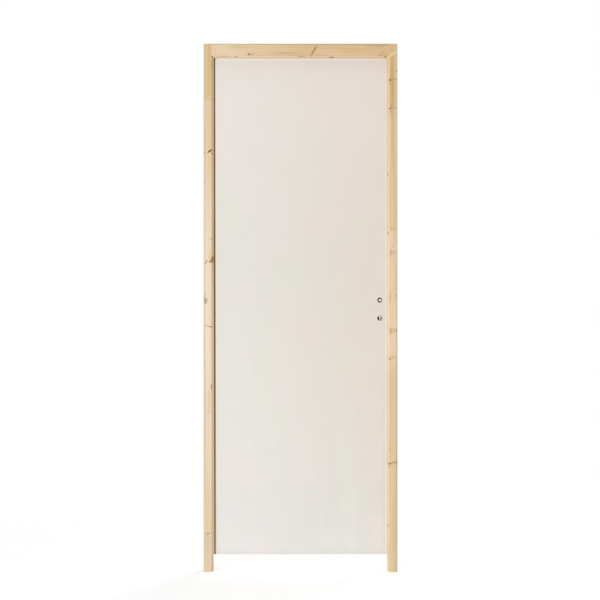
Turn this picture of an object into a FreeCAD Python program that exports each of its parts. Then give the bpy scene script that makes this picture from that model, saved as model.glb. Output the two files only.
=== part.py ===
import FreeCAD, Part
import math
import os

os.makedirs("parts", exist_ok=True)

# Interior door set: a flush hollow core leaf hung in a rebated softwood frame.
# X runs across the door from the hinge jamb to the lock jamb, Y runs through it from the push side to the
# pull side, and Z is up. The origin is on the outer face of the hinge jamb, at mid depth, at floor level.

# Leaf
leaf_width = 730.0
leaf_height = 2040.0
leaf_thickness = 40.0
skin_thickness = 3.2
skin_arris = 0.6
stile_width = 28.0
rail_width = 34.0
lock_block_width = 70.0
lock_block_height = 400.0
cell_pitch = 114.0
cell_wall = 1.2
core_slack = 0.4

# Room round the leaf
side_gap = 5.0
floor_gap = 7.0
seal_room = 5.0

# Frame
frame_depth = 72.0
rebated_jamb = 25.0
rebated_head = 40.0
stop_overlap = 10.0
frame_chamfer = 7.5
frame_arris = 1.0
stop_rounding = 6.0
foot_depth = 61.0
hinge_jamb_foot_length = 157.0
hinge_jamb_top_length = 226.0
lock_jamb_foot_length = 444.0
joint_to_pocket = 4.0

# Draught seal
groove_width = 3.0
groove_depth = 6.5
groove_inset = 5.5
seal_slack = 0.15
seal_lift = 0.3
seal_base_width = 8.0
seal_lip_thickness = 2.0
seal_show_top = 4.2
seal_show_bottom = 9.6

# Lift-off hinges
hinge_height = 110.0
hinge_end_distance = 220.0
plate_width = 26.0
plate_thickness = 2.5
knuckle_radius = 6.5
knuckle_proud = 1.0
knuckle_chamfer = 0.8
knuckle_cap = 3.0
pin_radius = 3.5
pin_play = 0.05
pin_end_gap = 1.0
pin_chamfer = 1.0
ring_height = 2.0
ring_play = 0.1

# Mortise lock
lock_backset = 40.0
spindle_height = 1040.0
key_drop = 74.0
lock_hole_radius = 10.5
case_depth = 62.0
case_thickness = 14.0
case_above_spindle = 46.0
case_below_spindle = 112.0
case_slack = 0.5
faceplate_width = 20.0
faceplate_thickness = 2.5
faceplate_overrun = 30.0
bolt_width = 11.0
bolt_play = 0.2
bolt_tail = 24.0
latch_height = 28.0
latch_rise = 20.0
latch_bevel = 8.0
dead_bolt_height = 30.0
dead_bolt_drop = 32.0
follower_radius = 9.0
follower_play = 0.1
spindle_square = 8.0
key_slot_width = 3.4
key_slot_height = 18.0
key_eye_radius = 3.4

# Strike plate
strike_thickness = 2.0
strike_width = 32.0
strike_overrun = 30.0
strike_room = 3.0
pocket_depth = 14.0

# Places worked out from the sizes above
front_y = -frame_depth / 2
back_y = frame_depth / 2
leaf_front_y = back_y - leaf_thickness
leaf_mid_y = back_y - leaf_thickness / 2
stop_back_y = leaf_front_y - seal_room
core_front_y = leaf_front_y + skin_thickness
core_back_y = back_y - skin_thickness

rebate_step = side_gap + stop_overlap
jamb_width = rebated_jamb + rebate_step
head_height = rebated_head + rebate_step
frame_width = leaf_width + 2 * (side_gap + rebated_jamb)

leaf_left = rebated_jamb + side_gap
leaf_right = leaf_left + leaf_width
leaf_bottom = floor_gap
leaf_top = leaf_bottom + leaf_height
stop_edge_z = leaf_top - stop_overlap
rebate_top = leaf_top + side_gap
frame_top = rebate_top + rebated_head
foot_z = -foot_depth

spindle_x = leaf_right - lock_backset
spindle_z = leaf_bottom + spindle_height
key_z = spindle_z - key_drop
pin_x = rebated_jamb + side_gap / 2
pin_y = back_y + knuckle_proud + knuckle_radius


def block(x_span, y_span, z_span):
    corner = FreeCAD.Vector(x_span[0], y_span[0], z_span[0])
    size = [span[1] - span[0] for span in (x_span, y_span, z_span)]
    return Part.makeBox(size[0], size[1], size[2], corner)


def prism(points, travel):
    outline = Part.makePolygon(points + points[:1])
    return Part.Face(outline).extrude(travel)


def upright(outline, z_span):
    points = [FreeCAD.Vector(x, y, z_span[0]) for x, y in outline]
    return prism(points, FreeCAD.Vector(0, 0, z_span[1] - z_span[0]))


def rod(radius, x, y, z_span):
    base = FreeCAD.Vector(x, y, z_span[0])
    return Part.makeCylinder(radius, z_span[1] - z_span[0], base)


def drilling(radius, x, z, y_span):
    mouth = FreeCAD.Vector(x, y_span[0], z)
    return Part.makeCylinder(radius, y_span[1] - y_span[0], mouth, FreeCAD.Vector(0, 1, 0))


def centred(middle, width):
    return (middle - width / 2, middle + width / 2)


def mirrored(shape):
    middle = FreeCAD.Vector(frame_width / 2, 0, 0)
    return shape.mirror(middle, FreeCAD.Vector(1, 0, 0))


def cut_all(shape, tools):
    for tool in tools:
        shape = shape.cut(tool)
    return shape


def save(shape, node):
    if shape.ShapeType != "Solid" and len(shape.Solids) == 1:
        shape = shape.Solids[0]
    shape.exportStep("parts/" + node + ".step")


# Frame timber
# One rebated section serves the jambs and the head: measured from the outer face inwards, and through the
# depth.
def frame_section(rebated):
    full = rebated + rebate_step
    return [
        (0, front_y + frame_arris),
        (frame_arris, front_y),
        (full - frame_chamfer, front_y),
        (full, front_y + frame_chamfer),
        (full, stop_back_y),
        (rebated, stop_back_y),
        (rebated, back_y - frame_arris),
        (rebated - frame_arris, back_y),
        (frame_arris, back_y),
        (0, back_y - frame_arris),
    ]


def seal_groove(rebated):
    near = rebated + groove_inset
    return (near, near + groove_width), (stop_back_y - groove_depth, stop_back_y)


def jamb_blank():
    post = upright(frame_section(rebated_jamb), (foot_z, frame_top))
    # The stop is cut back to the jamb's flat face where the head comes in, with a mitre at the chamfer.
    seat_x = jamb_width - frame_chamfer
    seat = [
        FreeCAD.Vector(seat_x, front_y, stop_edge_z + frame_chamfer),
        FreeCAD.Vector(jamb_width, front_y, stop_edge_z),
        FreeCAD.Vector(jamb_width, front_y, frame_top),
        FreeCAD.Vector(seat_x, front_y, frame_top),
    ]
    post = post.cut(prism(seat, FreeCAD.Vector(0, frame_depth, 0)))
    # At the foot the stop's corner is rounded over.
    stop_y = (front_y, stop_back_y)
    round_x = jamb_width - stop_rounding
    round_z = foot_z + stop_rounding
    corner = block((round_x, jamb_width), stop_y, (foot_z, round_z))
    return post.cut(corner.cut(drilling(stop_rounding, round_x, round_z, stop_y)))


hinge_jamb = jamb_blank()
lock_jamb = mirrored(hinge_jamb)

# The head comes in between the jambs, its ends scribed to their section.
head_x = (rebated_jamb, frame_width - rebated_jamb)
head_outline = [
    FreeCAD.Vector(head_x[0], y, frame_top - inward) for inward, y in frame_section(rebated_head)
]
head = prism(head_outline, FreeCAD.Vector(head_x[1] - head_x[0], 0, 0))
head = head.cut(hinge_jamb).cut(lock_jamb)

groove_x, groove_y = seal_groove(rebated_jamb)
jamb_groove = block(groove_x, groove_y, (foot_z, rebate_top))
hinge_jamb = hinge_jamb.cut(jamb_groove)
lock_jamb = lock_jamb.cut(mirrored(jamb_groove))

groove_rise, groove_y = seal_groove(rebated_head)
head_groove_z = (frame_top - groove_rise[1], frame_top - groove_rise[0])
head = head.cut(block(head_x, groove_y, head_groove_z))


# Draught seal
# A stem sits in the groove and a base and lip fill the room between the stop and the leaf.
seal_front = stop_back_y
seal_back = leaf_front_y - seal_lift
stem_y = (groove_y[0] + seal_slack, seal_front)
head_stem_z = (head_groove_z[0] + seal_slack, head_groove_z[1] - seal_slack)
head_base_z = (head_stem_z[1] - seal_base_width, head_stem_z[1])
stem_x = (groove_x[0] + seal_slack, groove_x[1] - seal_slack)
base_x = (stem_x[0], stem_x[0] + seal_base_width)
seal_z = (leaf_bottom, head_base_z[0] - seal_slack)


def jamb_seal():
    stem = block(stem_x, stem_y, seal_z)
    base = block(base_x, (seal_front, seal_back), seal_z)
    return stem.fuse(base)


# On the hinge side the leaf squeezes the lip out past the stop, a little more at the bottom than at the top.
lip_outline = [
    FreeCAD.Vector(base_x[0], seal_back, seal_z[0]),
    FreeCAD.Vector(jamb_width + seal_show_bottom, seal_back, seal_z[0]),
    FreeCAD.Vector(jamb_width + seal_show_top, seal_back, seal_z[1]),
    FreeCAD.Vector(base_x[0], seal_back, seal_z[1]),
]
lip = prism(lip_outline, FreeCAD.Vector(0, -seal_lip_thickness, 0))
hinge_seal = jamb_seal().fuse(lip).removeSplitter()
lock_seal = mirrored(jamb_seal()).removeSplitter()

head_stem_start = jamb_width - frame_chamfer + seal_slack
head_stem = block((head_stem_start, frame_width - head_stem_start), stem_y, head_stem_z)
head_base_x = (base_x[0], frame_width - base_x[0])
head_base = block(head_base_x, (seal_front, seal_back), head_base_z)
head_seal = head_stem.fuse(head_base).removeSplitter()


# Lift-off hinges
# The frame plate carries the lower knuckle and the pin, the leaf plate the upper knuckle that lifts off it.
frame_plate_x = (rebated_jamb - plate_thickness, rebated_jamb)
leaf_plate_x = (leaf_left, leaf_left + plate_thickness)
plate_y = (back_y - plate_width, back_y)
lowest_hinge = leaf_bottom + hinge_end_distance
highest_hinge = leaf_top - hinge_end_distance
hinge_heights = {
    "bottom": lowest_hinge,
    "middle": (lowest_hinge + highest_hinge) / 2,
    "top": highest_hinge,
}


def bevelled_rod(radius, bevel, z_span):
    bar = rod(radius, pin_x, pin_y, z_span)
    rims = [edge for edge in bar.Edges if isinstance(edge.Curve, Part.Circle)]
    return bar.makeChamfer(bevel, rims)


def hinge_half(plate_x, z_span, knuckle_span):
    plate = block(plate_x, plate_y, z_span)
    tongue = block(plate_x, (back_y, pin_y), knuckle_span)
    barrel = bevelled_rod(knuckle_radius, knuckle_chamfer, knuckle_span)
    return plate.fuse(tongue).fuse(barrel).removeSplitter()


plate_seats = []
for place, middle in hinge_heights.items():
    span = centred(middle, hinge_height)
    ring_span = centred(middle, ring_height)
    lower_span = (span[0], ring_span[0])
    upper_span = (ring_span[1] + ring_play, span[1])
    pin_top = span[1] - knuckle_cap - pin_end_gap

    lower = hinge_half(frame_plate_x, span, lower_span)
    lower = lower.cut(rod(pin_radius, pin_x, pin_y, lower_span))
    upper = hinge_half(leaf_plate_x, span, upper_span)
    bore_span = (upper_span[0], span[1] - knuckle_cap)
    upper = upper.cut(rod(pin_radius + pin_play, pin_x, pin_y, bore_span))

    pin = bevelled_rod(pin_radius, pin_chamfer, (span[0], pin_top))
    ring = rod(knuckle_radius, pin_x, pin_y, ring_span)
    ring = ring.cut(rod(pin_radius + pin_play, pin_x, pin_y, ring_span))

    save(lower, "frame_hinge_" + place)
    save(upper, "leaf_hinge_" + place)
    save(pin, "hinge_pin_" + place)
    save(ring, "hinge_ring_" + place)
    plate_seats.append(span)

for span in plate_seats:
    hinge_jamb = hinge_jamb.cut(block(frame_plate_x, plate_y, span))


# Leaf
stile_z = (leaf_bottom, leaf_top)
core_y = (core_front_y, core_back_y)
inner_x = (leaf_left + stile_width, leaf_right - stile_width)
inner_z = (leaf_bottom + rail_width, leaf_top - rail_width)

hinge_stile = block((leaf_left, inner_x[0]), core_y, stile_z)
lock_stile = block((inner_x[1], leaf_right), core_y, stile_z)
bottom_rail = block(inner_x, core_y, (leaf_bottom, inner_z[0]))
top_rail = block(inner_x, core_y, (inner_z[1], leaf_top))

lock_middle_z = (spindle_z + key_z) / 2
block_x = (inner_x[1] - lock_block_width, inner_x[1])
block_z = centred(lock_middle_z, lock_block_height)
lock_block = block(block_x, core_y, block_z)


def skin(y_span, outer_y):
    sheet = block((leaf_left, leaf_right), y_span, stile_z)
    rims = [edge for edge in sheet.Edges if math.isclose(edge.CenterOfMass.y, outer_y)]
    return sheet.makeChamfer(skin_arris, rims)


front_skin = skin((leaf_front_y, core_front_y), leaf_front_y)
back_skin = skin((core_back_y, back_y), back_y)

for span in plate_seats:
    seat = block(leaf_plate_x, plate_y, span)
    hinge_stile = hinge_stile.cut(seat)
    back_skin = back_skin.cut(seat)


# Paper honeycomb, expanded and glued between the skins, with a paper edge strip round it and the lock block
core_depth = FreeCAD.Vector(0, core_back_y - core_front_y, 0)


def core_room(inset):
    left = inner_x[0] + inset
    right = inner_x[1] - inset
    notch_left = block_x[0] - inset
    bottom = inner_z[0] + inset
    top = inner_z[1] - inset
    corners = [
        (left, bottom),
        (right, bottom),
        (right, block_z[0] - inset),
        (notch_left, block_z[0] - inset),
        (notch_left, block_z[1] + inset),
        (right, block_z[1] + inset),
        (right, top),
        (left, top),
    ]
    return prism([FreeCAD.Vector(x, core_front_y, z) for x, z in corners], core_depth)


cell_radius = (cell_pitch - cell_wall) / math.sqrt(3)
column_pitch = cell_pitch * math.sqrt(3) / 2
columns = math.ceil((inner_x[1] - inner_x[0]) / column_pitch) + 1
rows = math.ceil((inner_z[1] - inner_z[0]) / cell_pitch) + 1


def cell(x, z):
    corners = []
    for corner in range(6):
        turn = math.radians(60 * corner)
        corner_x = x + cell_radius * math.cos(turn)
        corner_z = z + cell_radius * math.sin(turn)
        corners.append(FreeCAD.Vector(corner_x, core_front_y, corner_z))
    return prism(corners, core_depth)


cells = []
for column in range(columns):
    shift = cell_pitch / 2 * (column % 2)
    for row in range(rows):
        cells.append(cell(inner_x[0] + column * column_pitch, inner_z[0] + row * cell_pitch - shift))
cells = Part.makeCompound(cells).common(core_room(core_slack + cell_wall))
honeycomb = core_room(core_slack).cut(cells)


# Mortise lock
case_x = (leaf_right - faceplate_thickness - case_depth, leaf_right - faceplate_thickness)
case_y = centred(leaf_mid_y, case_thickness)
case_z = (spindle_z - case_below_spindle, spindle_z + case_above_spindle)
faceplate_x = (case_x[1], leaf_right)
faceplate_y = centred(leaf_mid_y, faceplate_width)
faceplate_z = (case_z[0] - faceplate_overrun, case_z[1] + faceplate_overrun)


def round_ended(x_span, y_span, z_span):
    radius = (y_span[1] - y_span[0]) / 2
    end_heights = (z_span[0] + radius, z_span[1] - radius)
    plate = block(x_span, y_span, end_heights)
    for end_z in end_heights:
        middle = FreeCAD.Vector(x_span[0], y_span[0] + radius, end_z)
        end = Part.makeCylinder(radius, x_span[1] - x_span[0], middle, FreeCAD.Vector(1, 0, 0))
        plate = plate.fuse(end)
    return plate.removeSplitter()


faceplate = round_ended(faceplate_x, faceplate_y, faceplate_z)
mortise_x = (case_x[0] - case_slack, case_x[1])
mortise_y = (case_y[0] - case_slack, case_y[1] + case_slack)
mortise_z = (case_z[0] - case_slack, case_z[1] + case_slack)
mortise = block(mortise_x, mortise_y, mortise_z)
lock_stile = lock_stile.cut(mortise).cut(faceplate)
lock_block = lock_block.cut(mortise)

latch_z = centred(spindle_z + latch_rise, latch_height)
dead_bolt_z = centred(spindle_z - dead_bolt_drop, dead_bolt_height)
bolt_y = centred(leaf_mid_y, bolt_width)
bolt_x = (case_x[1] - bolt_tail, leaf_right)
latch = block(bolt_x, bolt_y, latch_z)
nose = [
    FreeCAD.Vector(leaf_right - latch_bevel, bolt_y[1], latch_z[0]),
    FreeCAD.Vector(leaf_right, bolt_y[0], latch_z[0]),
    FreeCAD.Vector(leaf_right, bolt_y[1], latch_z[0]),
]
latch = latch.cut(prism(nose, FreeCAD.Vector(0, 0, latch_height)))
dead_bolt = block(bolt_x, bolt_y, dead_bolt_z)


def bolt_room(z_span):
    grown_y = (bolt_y[0] - bolt_play, bolt_y[1] + bolt_play)
    grown_z = (z_span[0] - bolt_play, z_span[1] + bolt_play)
    return block((bolt_x[0] - bolt_play, leaf_right), grown_y, grown_z)


faceplate = cut_all(faceplate, [bolt_room(latch_z), bolt_room(dead_bolt_z)])
case = block(case_x, case_y, case_z)
case = cut_all(case, [bolt_room(latch_z), bolt_room(dead_bolt_z)])
case = case.cut(drilling(follower_radius + follower_play, spindle_x, spindle_z, case_y))
key_slot_z = centred(key_z, key_slot_height)
key_eye_z = key_slot_z[1] - key_eye_radius
case = case.cut(block(centred(spindle_x, key_slot_width), case_y, (key_slot_z[0], key_eye_z)))
case = case.cut(drilling(key_eye_radius, spindle_x, key_eye_z, case_y))

follower = drilling(follower_radius, spindle_x, spindle_z, case_y)
square = block(centred(spindle_x, spindle_square), case_y, centred(spindle_z, spindle_square))
follower = follower.cut(square)

for hole_z in (spindle_z, key_z):
    through = drilling(lock_hole_radius, spindle_x, hole_z, (leaf_front_y, back_y))
    front_skin = front_skin.cut(through)
    back_skin = back_skin.cut(through)
    lock_block = lock_block.cut(through)


# Strike plate, let into the lock jamb opposite the faceplate
strike_x0 = frame_width - rebated_jamb
strike_z = (dead_bolt_z[0] - strike_overrun, latch_z[1] + strike_overrun)
strike_y = (back_y - strike_width, back_y)
strike_seat = block((strike_x0, strike_x0 + strike_thickness), strike_y, strike_z)
lock_jamb = lock_jamb.cut(strike_seat)
strike = strike_seat.copy()
pocket_tops = []
for bolt_z in (latch_z, dead_bolt_z):
    pocket_y = (bolt_y[0] - strike_room, bolt_y[1] + strike_room)
    pocket_z = (bolt_z[0] - strike_room, bolt_z[1] + strike_room)
    pocket = block((strike_x0, strike_x0 + strike_thickness + pocket_depth), pocket_y, pocket_z)
    strike = strike.cut(pocket)
    lock_jamb = lock_jamb.cut(pocket)
    pocket_tops.append(pocket_z[1])


# Each jamb is finger jointed from three lengths of timber. The joints of the lock jamb keep clear of the
# bolts' pockets.
def save_lengths(jamb, joints, node):
    ends = (foot_z, *joints, frame_top)
    for place, start, end in zip(("bottom", "middle", "top"), ends, ends[1:]):
        length = jamb.common(block((0, frame_width), (front_y, back_y), (start, end)))
        save(length, node + "_" + place)


hinge_jamb_joints = (foot_z + hinge_jamb_foot_length, frame_top - hinge_jamb_top_length)
lock_jamb_joints = (foot_z + lock_jamb_foot_length, max(pocket_tops) + joint_to_pocket)
save_lengths(hinge_jamb, hinge_jamb_joints, "hinge_jamb")
save_lengths(lock_jamb, lock_jamb_joints, "lock_jamb")
save(head, "head")
save(hinge_seal, "hinge_side_seal")
save(lock_seal, "lock_side_seal")
save(head_seal, "head_seal")
save(strike, "strike_plate")
save(front_skin, "front_skin")
save(back_skin, "back_skin")
save(hinge_stile, "hinge_stile")
save(lock_stile, "lock_stile")
save(top_rail, "top_rail")
save(bottom_rail, "bottom_rail")
save(lock_block, "lock_block")
save(honeycomb, "honeycomb_core")
save(case, "lock_case")
save(faceplate, "lock_faceplate")
save(latch, "latch_bolt")
save(dead_bolt, "dead_bolt")
save(follower, "spindle_follower")
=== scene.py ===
import math

import bmesh
import bpy
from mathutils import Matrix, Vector


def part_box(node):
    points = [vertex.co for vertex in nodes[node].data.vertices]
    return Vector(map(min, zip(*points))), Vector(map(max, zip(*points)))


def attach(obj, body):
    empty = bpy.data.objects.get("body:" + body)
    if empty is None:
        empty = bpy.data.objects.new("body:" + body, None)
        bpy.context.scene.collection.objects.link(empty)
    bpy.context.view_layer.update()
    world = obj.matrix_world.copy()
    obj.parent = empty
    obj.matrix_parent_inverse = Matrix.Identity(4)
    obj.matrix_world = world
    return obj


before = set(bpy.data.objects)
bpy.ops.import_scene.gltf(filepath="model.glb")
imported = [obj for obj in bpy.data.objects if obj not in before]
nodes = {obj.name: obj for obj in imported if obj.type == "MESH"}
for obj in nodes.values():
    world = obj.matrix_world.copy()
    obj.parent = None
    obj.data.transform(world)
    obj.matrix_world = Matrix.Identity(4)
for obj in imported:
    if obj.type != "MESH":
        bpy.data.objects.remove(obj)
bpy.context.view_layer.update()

# Softwood frame
# Two rebated jambs and a head of planed, unfinished redwood. Each jamb is finger jointed from three lengths,
# and the head comes in between them with its ends scribed to the chamfer.


def colour(red, green, blue):
    """A colour given as it is seen, 0 to 255, turned into the light it reflects."""
    seen = (red / 255, green / 255, blue / 255)
    light = [c / 12.92 if c < 0.04045 else ((c + 0.055) / 1.055) ** 2.4 for c in seen]
    return (*light, 1.0)


class Value:
    """A number that changes over a surface. Sums written with it become nodes of its finish."""

    def __init__(self, finish, socket):
        self.finish = finish
        self.socket = socket

    def math(self, operation, other=0.0, first=None):
        """A Math node with this number, or first in its place, on the left and other on the right."""
        left = self if first is None else first
        return self.finish.node("Math", {0: left, 1: other}, operation=operation)

    def __add__(self, other):
        return self.math("ADD", other)

    def __sub__(self, other):
        return self.math("SUBTRACT", other)

    def __rsub__(self, other):
        return self.math("SUBTRACT", self, first=other)

    def __mul__(self, other):
        return self.math("MULTIPLY", other)

    def __truediv__(self, other):
        return self.math("DIVIDE", other)

    def __rtruediv__(self, other):
        return self.math("DIVIDE", self, first=other)

    __radd__ = __add__

    def rise(self, low, high):
        """0 below low and 1 above high, with a soft step between them."""
        spans = {"Value": self, "From Min": low, "From Max": high}
        return self.finish.node("MapRange", spans, interpolation_type="SMOOTHSTEP")

    def near(self, other, core, edge):
        """1 where this is within core of another number, falling to 0 at edge."""
        gap = (self - other).math("ABSOLUTE")
        return 1 - gap.rise(core, edge)


class Finish:
    """A material made node by node on one Principled shader."""

    def __init__(self, name):
        self.material = bpy.data.materials.new(name)
        self.material.use_nodes = True
        self.tree = self.material.node_tree
        self.shader = self.tree.nodes["Principled BSDF"]
        self.place = self.node("TexCoord", {}, out="Object")
        axes = self.node("SeparateXYZ", {0: self.place}).socket.node
        self.x, self.y, self.z = (Value(self, axes.outputs[axis]) for axis in "XYZ")

    def node(self, kind, sockets, out=0, **settings):
        """A shader node with its sockets given by name or number. Returns the output named by out."""
        made = self.tree.nodes.new("ShaderNode" + kind)
        for name, setting in settings.items():
            setattr(made, name, setting)
        for name, value in sockets.items():
            self.plug(made.inputs[name], value)
        return Value(self, made.outputs[out])

    def plug(self, socket, value):
        """Links a Value to a socket, or sets the socket to a plain number or colour."""
        if isinstance(value, Value):
            self.tree.links.new(value.socket, socket)
        else:
            socket.default_value = value

    def mix(self, first, second, amount):
        """The first colour where amount is 0 and the second where it is 1."""
        sockets = {0: amount, 6: first, 7: second}
        return self.node("Mix", sockets, out=2, data_type="RGBA", blend_type="MIX")

    def coat(self, tint, *coats):
        """A tint with coats over it, each (colour, amount), one after another."""
        for tone, amount in coats:
            tint = self.mix(tint, tone, amount)
        return tint

    def vector(self, operation, first, second=(0.0, 0.0, 0.0), out=0):
        return self.node("VectorMath", {0: first, 1: second}, out=out, operation=operation)

    def grain(self, stretch, detail=2.0, offset=(0.0, 0.0, 0.0), roughness=0.5):
        """Noise from 0 to 1, with so many waves a metre along each axis."""
        place = self.vector("ADD", self.vector("MULTIPLY", self.place, stretch), offset)
        sockets = {"Vector": place, "Scale": 1.0, "Detail": detail, "Roughness": roughness}
        return self.node("TexNoise", sockets, noise_dimensions="3D")

    def line_noise(self, value, scale, detail=2.0):
        """Noise from 0 to 1 along one number, with so many waves a metre."""
        sockets = {"W": value, "Scale": scale, "Detail": detail}
        return self.node("TexNoise", sockets, noise_dimensions="1D")

    def surface(self, height=None, depth=0.0, **sockets):
        """Sets the shader's own sockets, named with _ for a space, and the relief's depth in metres."""
        for name, value in sockets.items():
            self.plug(self.shader.inputs[name.replace("_", " ")], value)
        if height is not None:
            relief = {"Height": height, "Distance": depth, "Strength": 1.0}
            self.plug(self.shader.inputs["Normal"], self.node("Bump", relief))

    def cover(self, *names):
        """Puts this finish on the nodes with these names."""
        for name in names:
            for slot in nodes[name].material_slots:
                slot.material = self.material


early_wood = colour(242, 221, 192)
late_wood = colour(206, 163, 112)
end_grain = colour(206, 168, 122)
glue_line = colour(150, 118, 74)
# Besides the colours of the wood, these hold a tone of painted shade and one of painted light.
mark_tones = {
    "umber": colour(94, 64, 24),
    "brown": colour(134, 92, 48),
    "tan": colour(186, 143, 94),
    "olive": colour(164, 137, 76),
    "pale": colour(252, 236, 206),
    "rosy": colour(238, 200, 172),
    "honey": colour(226, 200, 142),
    "grey": colour(208, 202, 188),
    "dull": colour(158, 140, 116),
    "painted_shade": colour(186, 164, 104),
    "sand": colour(214, 186, 128),
    "painted_light": colour(255, 240, 206),
    "flax": colour(250, 228, 172),
}


def timber(name, runs, heart, lengths, marks=(), middle=0.0, bands=(), seed=0.0):
    """Softwood sawn so that its rings lie round heart, (across, deep), with glued lengths along the axis runs.

    A length is (start, slant, shift, tones): where it starts at the middle of the face, how much its joint
    leans, how far its rings are moved and its colours as (place, colour) along it. A mark is a knot, a streak
    or a patch of painted light or shade, an ellipsoid (tone, (x, z), (half width, half length), turn in
    degrees, strength). A band colours an arris or chamfer, mostly with painted light or shade: (tone, axis,
    place, core, edge, depth behind the front face, strength).
    """
    front_face = -0.036
    wood = Finish(name)
    upright = runs == "Z"
    along, across = (wood.z, wood.x) if upright else (wood.x, wood.z)

    def stretched(cross, lengthways):
        return (cross, cross, lengthways) if upright else (lengthways, cross, cross)

    # The rings are circles round the heart, drawn out of true by up to half of this reach.
    ring_reach = 0.022
    wander = wood.grain(stretched(7.0, 0.9), offset=(seed, 0.0, 0.0)) - 0.5
    drift = wood.grain(stretched(5.0, 0.7), offset=(0.0, seed + 4.0, 0.0)) - 0.5
    ring_x = across - heart[0] + wander * ring_reach
    ring_y = wood.y - heart[1] + drift * ring_reach

    # Fingers just under 10 mm long cross the depth, so that they show on the side faces.
    finger_pitch = 0.0038
    finger_slope = 5.0
    half_finger = 0.005
    seam_core, seam_edge = 0.0003, 0.0011
    fingers = wood.y.math("PINGPONG", finger_pitch / 2) * finger_slope
    tone = None
    glue = None
    for start, slant, shift, tones in lengths:
        blend = tones[0][1]
        for (low, _), (high, far_tone) in zip(tones, tones[1:]):
            blend = wood.mix(blend, far_tone, along.rise(low, high))
        if tone is None:
            tone = blend
            continue
        joint = fingers + ((across - middle) * slant + start - half_finger)
        past = along.math("GREATER_THAN", joint)
        tone = wood.mix(tone, blend, past)
        ring_x = ring_x + past * shift[0]
        ring_y = ring_y + past * shift[1]
        seam = along.near(joint, seam_core, seam_edge)
        glue = seam if glue is None else glue.math("MAXIMUM", seam)

    # Knots run into the timber as the branches did, and the rings bend round them. A mark is full inside its
    # core and gone outside its edge, both measured in its own half widths.
    mark_depth = 0.02
    mark_core, mark_edge = 0.5, 1.35
    ring_bend = 1.6
    ragged = (wood.grain(stretched(420.0, 160.0)) - 0.5) * 0.5
    bulge = None
    spots = []
    for kind, (mark_x, mark_z), (half_width, half_length), turn, strength in marks:
        reach = {
            "Vector": wood.place,
            "Location": (mark_x, front_face, mark_z),
            "Rotation": (0.0, math.radians(-turn), 0.0),
            "Scale": (half_width, mark_depth, half_length),
        }
        local = wood.node("Mapping", reach, vector_type="TEXTURE")
        away = wood.vector("LENGTH", local, out=1)
        inside = 1 - (away + ragged).rise(mark_core, mark_edge)
        spots.append((mark_tones[kind], inside * strength))
        if kind in ("umber", "brown", "tan"):
            swell = 1 / (1 + away * away) * (half_width * ring_bend)
            bulge = swell if bulge is None else bulge + swell

    # Each year's wood darkens slowly and ends sharply. Breadth and warmth change from ring to ring, while
    # streaks, fibres and resin canals run lengthways.
    ring_gap = 0.0032
    ring = (ring_x * ring_x + ring_y * ring_y).math("SQRT")
    if bulge is not None:
        ring = ring + bulge
    phase = (ring / ring_gap + wood.line_noise(ring, 55.0) * 2.4).math("FRACT")
    late = phase.rise(0.35, 0.9) * (1 - phase.rise(0.93, 1.0))
    broad = wood.line_noise(ring + seed, 95.0, detail=3.0)
    warmth = wood.line_noise(ring - seed, 120.0, detail=1.0)
    streak = wood.grain(stretched(190.0, 2.2), detail=3.0, offset=(0.0, 0.0, seed))
    fibre = wood.grain(stretched(1500.0, 40.0), detail=2.0)
    canal = wood.grain(stretched(620.0, 34.0), detail=0.0, offset=(seed, seed, 0.0)).rise(0.77, 0.84)
    facing = wood.node("TexCoord", {}, out="Normal")
    cut = wood.vector("DOT_PRODUCT", facing, stretched(0.0, 1.0), out=1).math("ABSOLUTE").rise(0.8, 0.95)
    tint = wood.coat(
        tone,
        (mark_tones["rosy"], warmth.rise(0.5, 0.75) * 0.35),
        (mark_tones["honey"], (1 - warmth.rise(0.3, 0.5)) * 0.3),
        (late_wood, late * (broad * 0.45 + 0.12)),
        (late_wood, broad.rise(0.5, 0.8) * 0.2),
        (early_wood, streak.rise(0.5, 0.75) * 0.4),
        (late_wood, fibre.rise(0.45, 0.75) * 0.1),
        (late_wood, canal * 0.35),
        (end_grain, cut * 0.45),
    )

    band_fade = 0.004
    for kind, axis, corner, core, edge, depth, strength in bands:
        front = 1 - wood.y.rise(front_face + depth, front_face + depth + band_fade)
        amount = getattr(wood, axis).near(corner, core, edge) * front * strength
        tint = wood.mix(tint, mark_tones[kind], amount)
    tint = wood.coat(tint, *spots)
    if glue is not None:
        tint = wood.mix(tint, glue_line, glue * 0.45)

    rough = 0.62 + late * -0.08 + fibre * 0.14
    relief = late * 0.45 + fibre * 0.35 + streak * 0.2
    wood.surface(Base_Color=tint, Roughness=rough, Specular_IOR_Level=0.32, height=relief, depth=0.00025)
    return wood


golden = colour(228, 196, 149)
pinkish = colour(239, 217, 194)
blush = colour(239, 210, 182)
milky = colour(252, 231, 213)
sallow = colour(208, 190, 164)
biscuit = colour(221, 200, 168)
straw = colour(242, 219, 184)
sandy = colour(222, 199, 163)
ripe = colour(233, 208, 163)
cream = colour(242, 221, 186)
dusky = colour(229, 193, 140)
oaten = colour(207, 188, 154)
mellow = colour(235, 210, 165)

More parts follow.
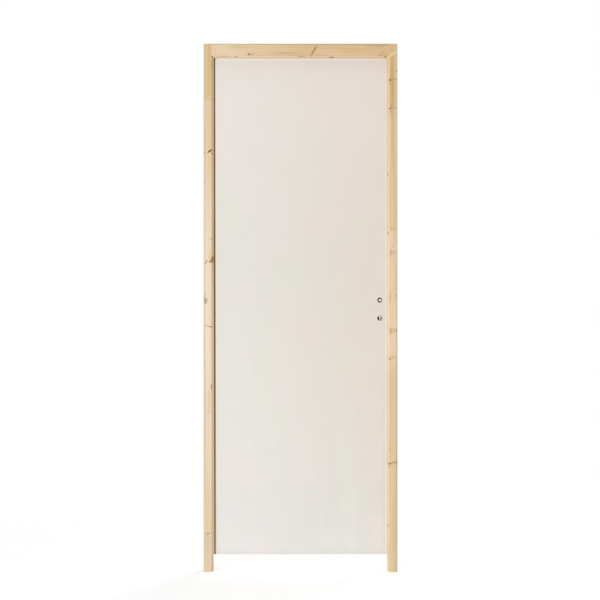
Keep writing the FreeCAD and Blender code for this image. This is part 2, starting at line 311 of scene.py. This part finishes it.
hinge_jamb_marks = [
    ("olive", (0.0020, 0.6000), (0.0070, 0.5000), 0, 0.16),
    # Painted shade on the chamfer.
    ("painted_shade", (0.0370, 1.2400), (0.0036, 0.1700), 0, 0.3),
    ("flax", (0.0286, 1.4500), (0.0038, 0.3800), 0, 0.5),
    # Painted light on the stop's edge.
    ("painted_light", (0.0402, 0.5000), (0.0022, 0.5500), 0, 0.5),
    ("pale", (0.0288, 0.5000), (0.0030, 0.3500), 0, 0.25),
    # Painted light on the stop's edge.
    ("pale", (0.0398, 0.5000), (0.0022, 0.4500), 0, 0.2),
    # Painted shade at the foot of the chamfer.
    ("painted_shade", (0.0385, -0.0350), (0.0050, 0.0500), 0, 0.6),
    ("grey", (0.0340, 0.0200), (0.0060, 0.0900), 0, 0.2),
    # Painted shade in the corner under the head, and on the chamfer below it.
    ("umber", (0.0364, 2.0392), (0.0052, 0.0026), 0, 0.95),
    ("painted_shade", (0.0345, 2.0150), (0.0034, 0.0260), 0, 0.85),
    ("honey", (0.0300, 2.0180), (0.0034, 0.0230), 0, 0.6),
    ("olive", (0.0250, 2.0226), (0.0016, 0.0080), 0, 0.45),
    ("pale", (0.0225, 2.0110), (0.0020, 0.0050), 0, 0.4),
    ("olive", (0.0285, 2.0020), (0.0020, 0.0060), 20, 0.4),
    ("olive", (0.0213, 1.8642), (0.0135, 0.0014), 0, 0.45),
    ("pale", (0.0181, 1.8724), (0.0040, 0.0050), 0, 0.4),
    ("pale", (0.0283, 1.8748), (0.0040, 0.0065), 0, 0.45),
    ("honey", (0.0290, 1.7200), (0.0040, 0.2500), 0, 0.5),
    ("brown", (0.0034, 1.7294), (0.0022, 0.0026), 0, 0.5),
    ("brown", (0.0034, 1.7143), (0.0022, 0.0026), 0, 0.45),
    ("honey", (0.0285, 1.6590), (0.0075, 0.0150), 0, 0.6),
    ("umber", (0.0252, 1.6546), (0.0110, 0.0035), 40, 1.0),
    ("olive", (0.0344, 1.6450), (0.0080, 0.0034), -56, 0.7),
    ("brown", (0.0385, 1.6568), (0.0030, 0.0040), 0, 0.4),
    ("pale", (0.0275, 1.6478), (0.0024, 0.0026), 0, 0.8),
    ("pale", (0.0230, 1.6368), (0.0028, 0.0026), 0, 0.6),
    ("pale", (0.0316, 1.6368), (0.0022, 0.0028), 0, 0.5),
    ("brown", (0.0042, 1.6478), (0.0020, 0.0048), 0, 0.4),
    ("brown", (0.0042, 1.5256), (0.0022, 0.0030), 0, 0.4),
    ("olive", (0.0325, 1.2968), (0.0085, 0.0026), 0, 0.6),
    ("honey", (0.0270, 1.2300), (0.0070, 0.0300), 0, 0.5),
    ("tan", (0.0372, 1.2140), (0.0068, 0.0150), 0, 0.85),
    ("tan", (0.0318, 1.2085), (0.0090, 0.0080), 20, 0.6),
    ("brown", (0.0380, 1.2150), (0.0040, 0.0090), 0, 0.6),
    ("umber", (0.0290, 1.2028), (0.0064, 0.0034), 20, 0.8),
    ("pale", (0.0265, 1.1965), (0.0030, 0.0030), 0, 0.9),
    ("olive", (0.0108, 1.2025), (0.0116, 0.0034), 56, 0.6),
    ("olive", (0.0059, 1.0456), (0.0046, 0.0152), 0, 0.65),
    ("olive", (0.0071, 1.0680), (0.0026, 0.0130), 0, 0.3),
    ("brown", (0.0124, 1.0440), (0.0024, 0.0120), -8, 0.65),
    ("brown", (0.0271, 0.9388), (0.0104, 0.0026), -14, 0.75),
    ("olive", (0.0100, 0.9437), (0.0080, 0.0040), 0, 0.3),
    ("brown", (0.0320, 0.6931), (0.0021, 0.0115), 0, 0.8),
    ("olive", (0.0201, 0.5953), (0.0020, 0.0140), 24, 0.35),
    ("sand", (0.0240, 0.6400), (0.0062, 0.0440), 0, 0.35),
    ("grey", (0.0042, 0.6100), (0.0038, 0.0500), 0, 0.4),
    ("olive", (0.0173, 0.0941), (0.0088, 0.0030), 0, 0.5),
    ("pale", (0.0291, 0.0879), (0.0052, 0.0020), 0, 0.6),
]
hinge_jamb_wood = timber(
    "planed_softwood_hinge_jamb",
    "Z",
    heart=(0.085, 0.062),
    lengths=[
        (-0.061, 0.0, (0.0, 0.0), [(-0.061, sallow)]),
        (
            0.096,
            0.0,
            (0.014, 0.02),
            [(0.16, biscuit), (0.52, pinkish), (0.9, milky), (1.15, milky), (1.75, blush)],
        ),
        (1.866, 0.0, (-0.05, -0.03), [(1.866, golden)]),
    ],
    marks=hinge_jamb_marks,
    # The band on the chamfer is painted shade, the one on the stop's edge painted light, and the jamb is greyer
    # along its outer arris.
    bands=[
        ("grey", "x", 0.0, 0.0012, 0.0085, 0.006, 0.55),
        ("honey", "x", 0.0295, 0.0020, 0.0060, 0.006, 0.35),
        ("painted_shade", "x", 0.0360, 0.0022, 0.0042, 0.009, 0.45),
        ("painted_light", "x", 0.0408, 0.0014, 0.0030, 0.028, 0.65),
    ],
)
hinge_jamb_wood.cover("hinge_jamb_bottom", "hinge_jamb_middle", "hinge_jamb_top")

lock_jamb_marks = [
    ("olive", (0.7685, 1.9300), (0.0062, 0.1300), 0, 0.3),
    ("rosy", (0.7835, 1.7500), (0.0045, 0.2600), 0, 0.4),
    ("olive", (0.7690, 1.7000), (0.0050, 0.1500), 0, 0.2),
    ("rosy", (0.7800, 1.1600), (0.0060, 0.1700), 0, 0.4),
    ("olive", (0.7885, 0.3500), (0.0036, 1.0000), 0, 0.5),
    # Painted shade at the foot of the chamfer, against its band of painted light.
    ("sand", (0.7530, -0.0300), (0.0075, 0.0900), 0, 0.35),
    ("rosy", (0.7760, 0.6400), (0.0045, 0.1400), 0, 0.5),
    ("pale", (0.7699, 2.0501), (0.0200, 0.0060), 37, 0.45),
    ("rosy", (0.7805, 2.0590), (0.0085, 0.0110), 0, 0.6),
    ("brown", (0.7862, 1.9812), (0.0020, 0.0042), 0, 0.6),
    ("brown", (0.7598, 1.9441), (0.0058, 0.0054), 0, 0.65),
    ("tan", (0.7765, 1.9480), (0.0115, 0.0030), 0, 0.65),
    ("pale", (0.7529, 1.9523), (0.0030, 0.0034), 0, 0.4),
    ("tan", (0.7577, 1.9298), (0.0052, 0.0014), 0, 0.4),
    ("brown", (0.7598, 1.8280), (0.0052, 0.0034), 15, 0.75),
    ("brown", (0.7655, 1.8369), (0.0018, 0.0082), 20, 0.45),
    ("tan", (0.7775, 1.8310), (0.0115, 0.0028), 0, 0.6),
    ("tan", (0.7598, 1.8157), (0.0042, 0.0014), 0, 0.35),
    ("dull", (0.7512, 1.5610), (0.0020, 0.0095), 0, 0.8),
    ("rosy", (0.7761, 1.3369), (0.0095, 0.0100), 0, 0.4),
    ("tan", (0.7655, 1.3377), (0.0032, 0.0032), 0, 0.5),
    ("tan", (0.7770, 1.3400), (0.0105, 0.0030), 0, 0.35),
    ("brown", (0.7529, 1.3194), (0.0018, 0.0090), 0, 0.7),
    ("pale", (0.7577, 1.3104), (0.0022, 0.0065), 0, 0.5),
    ("tan", (0.7760, 1.2411), (0.0115, 0.0110), 0, 0.25),
    ("tan", (0.7638, 1.2411), (0.0064, 0.0110), 0, 0.45),
    ("tan", (0.7740, 0.9235), (0.0100, 0.0130), 0, 0.3),
    ("tan", (0.7618, 0.9213), (0.0060, 0.0150), 0, 0.5),
    ("olive", (0.7854, 0.9233), (0.0032, 0.0105), 0, 0.6),
    ("tan", (0.7593, 0.8080), (0.0048, 0.0066), 0, 0.7),
    ("tan", (0.7683, 0.8153), (0.0024, 0.0084), 0, 0.4),
    ("tan", (0.7750, 0.8150), (0.0100, 0.0090), 0, 0.25),
    ("sand", (0.7560, 0.2500), (0.0050, 0.3500), 0, 0.3),
    ("olive", (0.7600, 1.0580), (0.0060, 0.0240), 0, 0.25),
    ("tan", (0.7830, 1.0640), (0.0052, 0.0160), 0, 0.3),
    ("pale", (0.7516, 0.5513), (0.0062, 0.0028), 0, 0.6),
    ("brown", (0.7589, 0.4404), (0.0026, 0.0042), 0, 0.45),
    ("umber", (0.7598, 0.3809), (0.0085, 0.0034), 0, 0.6),
    ("olive", (0.7785, 0.3858), (0.0105, 0.0040), 0, 0.7),
    ("brown", (0.7573, 0.3711), (0.0016, 0.0100), 0, 0.6),
    ("olive", (0.7866, 0.3854), (0.0028, 0.0185), 0, 0.5),
    ("brown", (0.7515, 0.1287), (0.0018, 0.0075), 0, 0.6),
]
lock_jamb_wood = timber(
    "planed_softwood_lock_jamb",
    "Z",
    heart=(0.700, 0.075),
    lengths=[
        (-0.061, 0.0, (0.0, 0.0), [(0.05, oaten), (0.3, sandy)]),
        (0.383, 0.0, (0.02, -0.015), [(0.7, sandy), (0.87, straw)]),
        (1.088, 0.0, (-0.03, 0.01), [(1.322, cream), (1.334, mellow), (1.76, mellow), (1.86, dusky)]),
    ],
    marks=lock_jamb_marks,
    # The band on the chamfer is painted light, and the jamb is greyer along its outer arris.
    bands=[
        ("grey", "x", 0.79, 0.0010, 0.0060, 0.006, 0.45),
        ("painted_light", "x", 0.7525, 0.0038, 0.0072, 0.009, 0.4),
    ],
    seed=3.7,
)
lock_jamb_wood.cover("lock_jamb_bottom", "lock_jamb_middle", "lock_jamb_top")

head_marks = [
    ("rosy", (0.0440, 2.0660), (0.0110, 0.0260), 0, 0.6),
    ("sand", (0.1500, 2.0790), (0.0500, 0.0080), 0, 0.5),
    ("rosy", (0.1350, 2.0640), (0.0360, 0.0080), 0, 0.4),
    ("rosy", (0.2150, 2.0620), (0.0500, 0.0160), 0, 0.35),
    ("brown", (0.1840, 2.0492), (0.0046, 0.0048), 0, 0.85),
    ("tan", (0.1945, 2.0484), (0.0096, 0.0024), 0, 0.8),
    ("tan", (0.0833, 2.0403), (0.0360, 0.0016), 0, 0.5),
    ("umber", (0.1320, 2.0398), (0.0100, 0.0018), 0, 0.55),
    ("tan", (0.3319, 2.0541), (0.0500, 0.0030), 0, 0.35),
    ("brown", (0.3990, 2.0400), (0.0170, 0.0018), 0, 0.5),
    ("honey", (0.4510, 2.0560), (0.0200, 0.0080), 62, 0.5),
    ("olive", (0.4484, 2.0623), (0.0230, 0.0038), 62, 0.9),
    ("umber", (0.4560, 2.0735), (0.0032, 0.0030), 0, 0.6),
    ("rosy", (0.5100, 2.0600), (0.0550, 0.0140), 0, 0.45),
    ("sand", (0.6000, 2.0560), (0.0500, 0.0160), 0, 0.35),
    ("pale", (0.6000, 2.0470), (0.1100, 0.0080), 0, 0.2),
    ("umber", (0.5214, 2.0358), (0.0120, 0.0036), 0, 0.95),
    ("olive", (0.7100, 2.0840), (0.0550, 0.0070), 0, 0.3),
    ("tan", (0.7202, 2.0439), (0.0052, 0.0030), -20, 0.7),
    ("tan", (0.7279, 2.0562), (0.0064, 0.0026), 10, 0.65),
    ("olive", (0.7406, 2.0399), (0.0070, 0.0030), 0, 0.7),
]
head_wood = timber(
    "planed_softwood_head",
    "X",
    heart=(1.985, 0.030),
    lengths=[
        (0.0325, 0.0, (0.0, 0.0), [(0.12, cream), (0.25, ripe), (0.45, golden)]),
        (0.4484, 0.53, (0.03, 0.02), [(0.45, golden), (0.7, golden), (0.76, dusky)]),
    ],
    marks=head_marks,
    middle=2.0623,
    # The band on the top arris is painted shade, and the one on the lower chamfer painted light.
    bands=[
        ("dull", "z", 2.092, 0.0012, 0.0062, 0.006, 0.58),
        ("painted_light", "z", 2.0370, 0.0020, 0.0050, 0.009, 0.7),
    ],
    seed=8.1,
)
head_wood.cover("head")

# Draught seal
# An extruded strip of brown rubber pushed into the grooves of the stop. The leaf presses against it, and on
# the hinge side its lip shows past the stop as a dark line.
rubber = Finish("brown_seal_rubber")
rubber_foot = colour(176, 162, 132)
rubber_middle = colour(140, 112, 76)
rubber_top = colour(84, 42, 4)
painted_corner_shade = colour(40, 18, 2)
rubber_lip = colour(112, 98, 74)
rubber_bloom = colour(168, 150, 122)
rubber_bead = colour(214, 192, 150)
bloom = rubber.grain((60.0, 60.0, 9.0), detail=3.0)
draw_lines = rubber.grain((900.0, 900.0, 6.0), detail=1.0)
lip = rubber.x.rise(0.0460, 0.0480) * (1 - rubber.z.rise(0.0, 0.8))
# Painted shade darkens the seal from its foot upwards, most of all at the top, along the head.
rubber_tint = rubber.coat(
    rubber_foot,
    (rubber_middle, rubber.z.rise(-0.3, 1.3)),
    (rubber_top, rubber.z.rise(1.3, 2.1)),
    (painted_corner_shade, rubber.z.rise(1.985, 2.01) * 0.7),
    (rubber_lip, lip * 0.6),
    (rubber_bloom, bloom.rise(0.5, 0.75) * 0.25),
    (rubber_bead, rubber.x.near(0.0405, 0.0010, 0.0026) * 0.55),
)
rubber.surface(
    Base_Color=rubber_tint,
    Roughness=0.6 + bloom * 0.2,
    Specular_IOR_Level=0.2,
    height=draw_lines,
    depth=0.0002,
)
rubber.cover("hinge_side_seal", "lock_side_seal", "head_seal")

# Leaf skins
# Two 3.2 mm sheets of hardboard, pressed onto the core and primed off-white at the works by roller. The primer
# keeps the roller's fine stipple and dries a little uneven.
primer = Finish("primed_hardboard")
fresh = colour(232, 229, 223)
shaded_right_tone = colour(231, 222, 210)
shaded_foot_tone = colour(223, 220, 219)
shaded_foot_right_tone = colour(217, 214, 210)
lit_head_tone = colour(239, 233, 227)
lit_head_right_tone = colour(238, 229, 221)
green_cast = colour(226, 229, 213)
pink_cast = colour(237, 224, 218)
blotch = colour(222, 211, 198)
roller_mark = colour(240, 237, 231)
painted_rim_light = colour(255, 243, 235)
grit = colour(205, 196, 184)
painted_foot_edge_shade = colour(205, 201, 197)
# Masks for painted shade towards the lock side.
shading_to_the_right = primer.x.rise(0.05, 0.75)
foot_shading_to_the_right = primer.x.rise(0.0, 0.5)
mottle = primer.grain((5.0, 5.0, 3.2), detail=4.0, roughness=0.6)
hue = primer.grain((6.0, 6.0, 4.0), detail=1.0, offset=(7.0, 3.0, 1.0))
roller = primer.grain((34.0, 34.0, 2.2), detail=2.0, offset=(2.0, 0.0, 0.0))
stipple = primer.grain((620.0, 620.0, 620.0), detail=2.0)
specks = primer.grain((210.0, 210.0, 210.0), detail=0.0, offset=(5.0, 1.0, 2.0)).rise(0.74, 0.8)

# Painted light makes the front skin paler along both sides and the top, and painted shade makes the skins a
# little darker along their foot.
rim_light_amount = (1 - primer.x.rise(0.0488, 0.0535)).math("MAXIMUM", primer.x.rise(0.738, 0.746) * 0.6)
rim_light_amount = rim_light_amount.math("MAXIMUM", primer.z.rise(2.0265, 2.0310))
foot = 1 - primer.z.rise(0.012, 0.024)
# Painted light makes the skins paler towards the head, and painted shade makes them darker towards the foot and
# towards the lock side.
primer_tint = primer.mix(
    primer.mix(shaded_foot_tone, shaded_foot_right_tone, foot_shading_to_the_right), primer.mix(fresh, shaded_right_tone, shading_to_the_right), primer.z.rise(-0.1, 0.9)
)
primer_tint = primer.coat(
    primer_tint,
    (primer.mix(lit_head_tone, lit_head_right_tone, shading_to_the_right), primer.z.rise(0.9, 2.1)),
    (green_cast, hue.rise(0.5, 0.72) * 0.3),
    (pink_cast, (1 - hue.rise(0.3, 0.5)) * 0.3),
    (blotch, mottle.rise(0.5, 0.85) * 0.12),
    (roller_mark, roller.rise(0.5, 0.8) * 0.1),
    (painted_rim_light, rim_light_amount * (1 - primer.y.rise(0.0, 0.01))),
    (grit, specks * 0.12),
    (painted_foot_edge_shade, foot * 0.35),
)
primer.surface(
    Base_Color=primer_tint,
    Roughness=0.5 + mottle * 0.16 + stipple * 0.1,
    Specular_IOR_Level=0.35,
    height=stipple * 0.6 + roller * 0.4,
    depth=0.0001,
)
primer.cover("front_skin", "back_skin")

# Leaf timber
# Stiles and rails of plain softwood between the skins, with a wider block where the lock is let in. The edges
# are planed and left bare.
whole_stile = (0.0, 0.0, (0.0, 0.0), [(0.0, straw), (2.0, ripe)])
stile_wood = timber("leaf_stile_softwood", "Z", heart=(0.05, -0.03), lengths=[whole_stile], seed=5.3)
stile_wood.cover("hinge_stile", "lock_stile", "lock_block")
whole_rail = (0.0, 0.0, (0.0, 0.0), [(0.0, ripe), (0.7, straw)])
rail_wood = timber("leaf_rail_softwood", "X", heart=(0.03, -0.02), lengths=[whole_rail], seed=6.9)
rail_wood.cover("top_rail", "bottom_rail")

# Core
# Kraft paper glued in strips and pulled open into cells. It is glued in between the two skins and keeps them
# apart.
paper = Finish("kraft_paper_core")
paper_dark = colour(178, 141, 98)
paper_light = colour(200, 166, 122)
bark = colour(120, 88, 56)
pulp = paper.grain((480.0, 480.0, 480.0), detail=3.0)
flecks = paper.grain((900.0, 900.0, 200.0), detail=0.0).rise(0.7, 0.8)
paper_tint = paper.coat(paper_dark, (paper_light, pulp), (bark, flecks * 0.5))
paper.surface(Base_Color=paper_tint, Roughness=0.8 + pulp * 0.15, height=pulp, depth=0.0002)
paper.cover("honeycomb_core")

# Lift-off hinges
# Folded steel plates with a rolled knuckle, zinc plated, let in flush. The pin stands in the frame's half, and
# a brass ring on it carries the leaf's half.


def metal(name, bright, dull, brushed, rough, clouds=9.0):
    """Bare metal with a brushed grain along the axis named by brushed, and faint clouds in its polish."""
    made = Finish(name)
    lengthways, across = 30.0, 2600.0
    lines = made.grain(tuple(lengthways if axis == brushed else across for axis in "XYZ"), detail=2.0)
    cloud = made.grain((clouds, clouds, clouds), detail=4.0, roughness=0.6)
    stain = made.grain((170.0, 170.0, 170.0), detail=2.0, offset=(3.0, 3.0, 3.0)).rise(0.6, 0.8)
    tint = made.coat(dull, (bright, lines * 0.55 + cloud * 0.45), (dull, stain * 0.35))
    roughness = rough + lines * 0.14 + cloud * 0.12
    made.surface(Base_Color=tint, Metallic=1.0, Roughness=roughness, height=lines, depth=0.00006)
    return made


zinc = metal("zinc_plated_steel", colour(216, 216, 210), colour(176, 178, 176), "Z", rough=0.26)
brass = metal("turned_brass", colour(226, 188, 112), colour(188, 146, 78), "X", rough=0.24, clouds=60.0)
hinge_places = ("bottom", "middle", "top")
for place in hinge_places:
    zinc.cover("frame_hinge_" + place, "leaf_hinge_" + place, "hinge_pin_" + place)
    brass.cover("hinge_ring_" + place)

# Mortise lock
# A pressed steel case let into the lock edge, with a plated faceplate, a bevelled latch bolt and a square dead
# bolt, both drawn back. The follower takes an 8 mm spindle.
case_steel = Finish("phosphated_lock_steel")
case_light = colour(200, 190, 178)
case_dark = colour(182, 172, 162)
painted_shadow_black = colour(6, 4, 2)
crystals = case_steel.grain((900.0, 900.0, 900.0), detail=2.0)

# Black on the case and the follower, on the side nearer the hinges, is painted shadow of the rim of each lock
# hole.
shadow_fade = 0.007
low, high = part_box("spindle_follower")
painted_shadow = 1 - (case_steel.x - (low.x + high.x) / 2).rise(0.0, shadow_fade)
case_tint = case_steel.coat(case_light, (case_dark, crystals), (painted_shadow_black, painted_shadow))
case_steel.surface(
    Base_Color=case_tint,
    Roughness=0.55 + crystals * 0.2,
    Specular_IOR_Level=0.12,
    height=crystals,
    depth=0.00005,
)
case_steel.cover("lock_case", "spindle_follower")
bolt_steel = metal("plated_lock_steel", colour(222, 221, 214), colour(184, 184, 180), "Z", rough=0.22)
bolt_steel.cover("lock_faceplate", "latch_bolt", "dead_bolt")

# Strike plate
# A flat plated steel plate let into the rebate opposite the lock and held by two screws, with a window for each
# bolt.
strike_steel = metal("strike_plate_steel", colour(214, 214, 208), colour(172, 174, 172), "Z", rough=0.28)
strike_steel.cover("strike_plate")

# Screws
# Countersunk wood screws with a cross recess hold the hinge plates, the faceplate and the strike plate. Each is
# driven home until only its rim stands proud, by 0.2 mm, with its recess at whatever turn it stopped.
quarter_turn = math.pi / 2
screw_steel = metal("zinc_plated_screw", colour(224, 222, 212), colour(168, 168, 162), "X", rough=0.3)


def screw_tree(name):
    """A node tree that sets a screw on every point, its head along the point's facing."""
    tree = bpy.data.node_groups.new(name, "GeometryNodeTree")
    tree.interface.new_socket("Geometry", in_out="INPUT", socket_type="NodeSocketGeometry")
    sizes = {}
    for label, size in (
        ("Head radius", 0.0039),
        ("Head depth", 0.0024),
        ("Shank radius", 0.0017),
        ("Shank length", 0.022),
        ("Rim height", 0.00035),
        ("Recess width", 0.0009),
        ("Recess length", 0.0046),
        ("Recess depth", 0.0016),
    ):
        socket = tree.interface.new_socket(label, in_out="INPUT", socket_type="NodeSocketFloat")
        sizes[label] = (socket.identifier, size)
    finish = tree.interface.new_socket("Finish", in_out="INPUT", socket_type="NodeSocketMaterial")
    tree.interface.new_socket("Geometry", in_out="OUTPUT", socket_type="NodeSocketGeometry")
    given = tree.nodes.new("NodeGroupInput")

    def add(kind, sockets, out=0, **settings):
        """A node with its sockets linked or set, a list of links going into one socket. Returns its output."""
        made = tree.nodes.new(kind)
        for key, setting in settings.items():
            setattr(made, key, setting)
        for key, value in sockets.items():
            for one in value if isinstance(value, list) else [value]:
                if isinstance(one, bpy.types.NodeSocket):
                    tree.links.new(one, made.inputs[key])
                else:
                    made.inputs[key].default_value = one
        return made.outputs[out]

    def calc(operation, first, second):
        return add("ShaderNodeMath", {0: first, 1: second}, operation=operation)

    def lifted(mesh, height, turn=0.0):
        """A mesh moved up by height and turned round its own axis."""
        shift = add("ShaderNodeCombineXYZ", {"Z": height})
        return add("GeometryNodeTransform", {0: mesh, "Translation": shift, "Rotation": (0.0, 0.0, turn)})

    size = given.outputs
    head_sides, shank_sides = 28, 12
    cone_sockets = {
        "Vertices": head_sides,
        "Radius Top": size["Head radius"],
        "Radius Bottom": size["Shank radius"],
        "Depth": size["Head depth"],
    }
    cone = add("GeometryNodeMeshCone", cone_sockets)
    down = calc("MULTIPLY", size["Head depth"], -1.0)
    head = lifted(cone, down)
    rim_sockets = {"Vertices": head_sides, "Radius": size["Head radius"], "Depth": size["Rim height"]}
    rim = add("GeometryNodeMeshCylinder", rim_sockets)
    shank_sockets = {
        "Vertices": shank_sides,
        "Radius": size["Shank radius"],
        "Depth": size["Shank length"],
    }
    shank = add("GeometryNodeMeshCylinder", shank_sockets)
    shank = lifted(shank, calc("SUBTRACT", down, calc("MULTIPLY", size["Shank length"], 0.5)))

    # Two crossed bars, half of each above the head, cut the recess.
    bar_depth = calc("MULTIPLY", size["Recess depth"], 2.0)
    bar_sides = {"X": size["Recess length"], "Y": size["Recess width"], "Z": bar_depth}
    bar = add("GeometryNodeMeshCube", {"Size": add("ShaderNodeCombineXYZ", bar_sides)})
    crossed = lifted(bar, 0.0, turn=quarter_turn)
    solid = {"Mesh": [head, rim, shank]}
    body = add("GeometryNodeMeshBoolean", solid, operation="UNION", solver="EXACT")
    cutting = {0: body, "Mesh 2": [bar, crossed]}
    body = add("GeometryNodeMeshBoolean", cutting, operation="DIFFERENCE", solver="EXACT")

    # Each screw faces as its point does, with its recess turned at random by up to a quarter turn.
    facing = add("GeometryNodeInputNamedAttribute", {"Name": "facing"}, data_type="FLOAT_VECTOR")
    aligned = add("FunctionNodeAlignRotationToVector", {"Vector": facing}, axis="Z")
    turns = {2: 0.0, 3: quarter_turn, "Seed": 7}
    chance = add("FunctionNodeRandomValue", turns, out=1, data_type="FLOAT")
    spin = add("ShaderNodeCombineXYZ", {"Z": chance})
    turned = add("FunctionNodeEulerToRotation", {0: spin})
    pair = {"Rotation": aligned, "Rotate By": turned}
    rotation = add("FunctionNodeRotateRotation", pair, rotation_space="LOCAL")
    copies = {"Points": size["Geometry"], "Instance": body, "Rotation": rotation}
    placed = add("GeometryNodeInstanceOnPoints", copies)
    real = add("GeometryNodeRealizeInstances", {0: placed})
    dressed = add("GeometryNodeSetMaterial", {"Geometry": real, "Material": size["Finish"]})
    tree.links.new(dressed, tree.nodes.new("NodeGroupOutput").inputs[0])
    return tree, sizes, finish.identifier


screws, screw_sizes, screw_finish = screw_tree("countersunk_screws")


def drive_screws(name, body, places):
    """One mesh of screws for a body, from (place, facing) pairs."""
    points = bpy.data.meshes.new(name + "_points")
    points.from_pydata([place for place, facing in places], [], [])
    facings = points.attributes.new("facing", "FLOAT_VECTOR", "POINT")
    for item, (place, facing) in zip(facings.data, places):
        item.vector = facing
    holder = bpy.data.objects.new(name + "_holder", points)
    bpy.context.scene.collection.objects.link(holder)
    driver = holder.modifiers.new("screws", "NODES")
    driver.node_group = screws
    for identifier, size in screw_sizes.values():
        driver[identifier] = size
    driver[screw_finish] = screw_steel.material
    ready = holder.evaluated_get(bpy.context.evaluated_depsgraph_get())
    mesh = bpy.data.meshes.new_from_object(ready)
    mesh.name = name
    piece = bpy.data.objects.new(name, mesh)
    bpy.context.scene.collection.objects.link(piece)
    bpy.data.objects.remove(holder)
    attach(piece, body)


proud = 0.00005
frame_plate_face, leaf_plate_face = 0.025, 0.030
# Each hinge screw's y, and its height over the middle of the plate.
hinge_screws = ((0.017, 0.043), (0.027, 0.018), (0.017, -0.043), (0.027, -0.018))
faceplate_inset = 0.013
strike_inset = 0.012
strike_screw_y = 0.016
frame_places = []
leaf_places = []
for place in hinge_places:
    for node, side, face_x, places in (
        ("frame_hinge_", 1, frame_plate_face, frame_places),
        ("leaf_hinge_", -1, leaf_plate_face, leaf_places),
    ):
        low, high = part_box(node + place)
        middle = (low.z + high.z) / 2
        for screw_y, screw_z in hinge_screws:
            places.append(((face_x + side * proud, screw_y, middle + screw_z), (side, 0, 0)))

low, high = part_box("lock_faceplate")
for screw_z in (low.z + faceplate_inset, high.z - faceplate_inset):
    leaf_places.append(((high.x + proud, (low.y + high.y) / 2, screw_z), (1, 0, 0)))
low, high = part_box("strike_plate")
for screw_z in (low.z + strike_inset, high.z - strike_inset):
    frame_places.append(((low.x - proud, strike_screw_y, screw_z), (-1, 0, 0)))

drive_screws("frame_screws", "frame", frame_places)
drive_screws("leaf_screws", "leaf", leaf_places)

# Studio
# A pale floor that fades into a white surround, a large soft light in front and to the left, a larger one
# behind and a faint one overhead, so that both faces of the leaf can be seen.
middle_x = 0.395
foot_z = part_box("hinge_jamb_bottom")[0].z
floor_radius = 4.0
fade_start, fade_end = 0.9, 2.3
floor_mesh = bpy.data.meshes.new("studio_floor")
disc = bmesh.new()
bmesh.ops.create_circle(disc, cap_ends=True, radius=floor_radius, segments=96)
for corner in disc.verts:
    corner.co += Vector((middle_x, 0.0, foot_z))
disc.to_mesh(floor_mesh)
disc.free()
floor = bpy.data.objects.new("studio_floor", floor_mesh)
bpy.context.scene.collection.objects.link(floor)
paving = Finish("pale_floor")
out_x = paving.x - middle_x
reach = (out_x * out_x + paving.y * paving.y).math("SQRT")
dust = paving.grain((3.0, 3.0, 3.0), detail=3.0)
floor_dark = colour(222, 222, 222)
floor_light = colour(226, 226, 226)
floor_tint = paving.mix(floor_dark, floor_light, dust)
paving.surface(
    Base_Color=floor_tint,
    Roughness=0.9,
    Emission_Color=floor_tint,
    Emission_Strength=0.62,
    Alpha=1 - reach.rise(fade_start, fade_end),
)
floor_mesh.materials.append(paving.material)

world = bpy.data.worlds.new("white_surround")
bpy.context.scene.world = world
world.use_nodes = True
sky = world.node_tree
sky.nodes.clear()


def white(strength):
    """A plain white background of this strength."""
    made = sky.nodes.new("ShaderNodeBackground")
    made.inputs["Color"].default_value = (1.0, 1.0, 1.0, 1.0)
    made.inputs["Strength"].default_value = strength
    return made.outputs[0]


# The camera sees full white, while the door is lit by less of it.
ray = sky.nodes.new("ShaderNodeLightPath")
either = sky.nodes.new("ShaderNodeMixShader")
sky.links.new(ray.outputs["Is Camera Ray"], either.inputs[0])
sky.links.new(white(0.4), either.inputs[1])
sky.links.new(white(1.0), either.inputs[2])
sky.links.new(either.outputs[0], sky.nodes.new("ShaderNodeOutputWorld").inputs[0])


def soft_light(name, place, aim, size, power):
    """A rectangular light of size (wide, high) at a place, facing its aim and unseen by the camera."""
    lamp = bpy.data.lights.new(name, "AREA")
    lamp.shape = "RECTANGLE"
    lamp.size, lamp.size_y = size
    lamp.energy = power
    light = bpy.data.objects.new(name, lamp)
    light.location = place
    light.rotation_euler = (Vector(aim) - Vector(place)).to_track_quat("-Z", "Y").to_euler()
    light.visible_camera = False
    bpy.context.scene.collection.objects.link(light)


leaf_middle = (middle_x, 0.0, 1.0)
soft_light("front_light", (-1.7, -6.4, 1.4), leaf_middle, (2.2, 2.2), 211.0)
soft_light("top_light", (middle_x, -0.7, 4.6), (middle_x, -0.69, 0.0), (3.0, 3.0), 30.0)
soft_light("back_light", (3.2, 5.8, 2.4), leaf_middle, (3.0, 2.6), 185.0)

# Camera
# Level with the middle of the leaf and square to it, seven metres away.
camera = bpy.data.objects.new("camera", bpy.data.cameras.new("camera"))
camera.location = (0.393, -7.036, 1.0476)
camera.rotation_euler = (quarter_turn, 0.0, 0.0)
camera.data.sensor_width = 36.0
camera.data.lens = 103.07
bpy.context.scene.collection.objects.link(camera)
bpy.context.scene.camera = camera
bpy.context.scene.view_settings.view_transform = "Standard"
